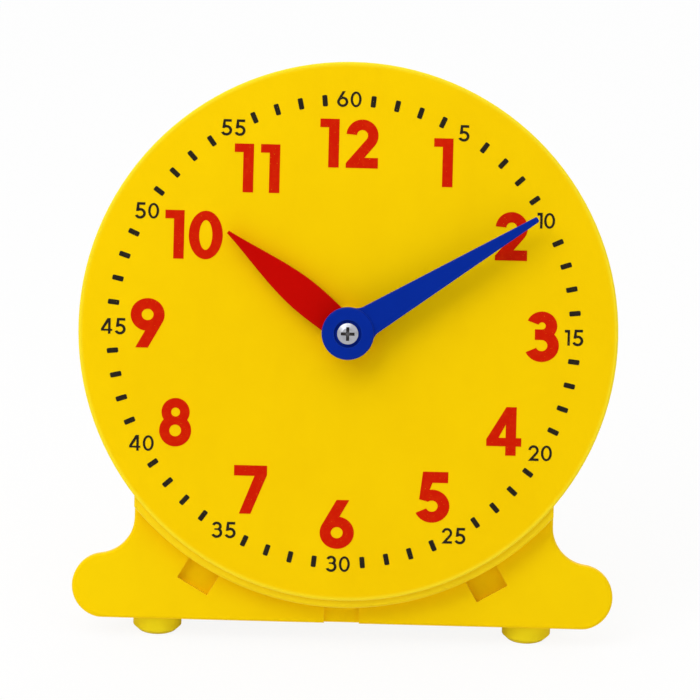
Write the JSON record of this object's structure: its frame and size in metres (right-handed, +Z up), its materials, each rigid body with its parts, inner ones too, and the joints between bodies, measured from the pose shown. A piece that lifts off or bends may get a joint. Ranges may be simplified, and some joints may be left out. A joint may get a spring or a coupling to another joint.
{
  "type": "geared teaching clock",
  "caption": "Round student clock on a leaning stand; turning the minute hand moves the hour hand through hidden gears, and the clock lifts out of its stand.",
  "frame": {"origin": "on the floor under the middle of the clock's bounding box", "axes": "+Z up, +X to the right as seen from the front, +Y to the back; the dial faces -Y and leans back"},
  "size_m": [0.1006, 0.0446, 0.105],
  "materials": {
    "yellow_plastic": "satin moulded",
    "foot_plastic": "soft moulded",
    "blue_plastic": "satin moulded",
    "red_plastic": "satin moulded",
    "gear_plastic": "plain moulded",
    "screw_steel": "plated",
    "arbor_brass": "turned"
  },
  "bodies": {
    "stand": {"stand": "yellow_plastic", "foot_front_left": "foot_plastic", "foot_front_right": "foot_plastic", "foot_rear_left": "foot_plastic", "foot_rear_right": "foot_plastic"},
    "case": {"dial_shell": "yellow_plastic", "dial_bush": "gear_plastic", "rear_cover": "yellow_plastic", "cover_screws": "screw_steel", "idler_pin": "screw_steel", "idler_retainer": "screw_steel", "friction_washer": "screw_steel"},
    "minute": {"minute_hand": "blue_plastic", "hand_screw": "screw_steel", "hand_spacer": "gear_plastic", "minute_arbor": "arbor_brass", "minute_pinion": "gear_plastic"},
    "idler": {"idler_gear": "gear_plastic"},
    "hour": {"hour_wheel": "gear_plastic", "hour_hand": "red_plastic"}
  },
  "joints": [
    {"name": "case_lift", "type": "slide", "parent": "stand", "child": "case", "axis": [0, 0.2924, 0.9563], "range_m": [0, 0.06]},
    {"name": "minute_turn", "type": "hinge", "parent": "case", "child": "minute", "pos_m": [0, -0.00777, 0.05724], "axis": [0, 0.9563, -0.2924], "continuous": true},
    {"name": "idler_turn", "type": "hinge", "parent": "case", "child": "idler", "pos_m": [0, -0.0025, 0.07446], "axis": [0, 0.9563, -0.2924], "continuous": true},
    {"name": "hour_turn", "type": "hinge", "parent": "case", "child": "hour", "pos_m": [0, -0.00777, 0.05724], "axis": [0, 0.9563, -0.2924], "continuous": true}
  ],
  "couplings": [
    {"joint": "idler_turn", "follows": "minute_turn", "ratio": -0.33333},
    {"joint": "hour_turn", "follows": "minute_turn", "ratio": 0.083333}
  ]
}
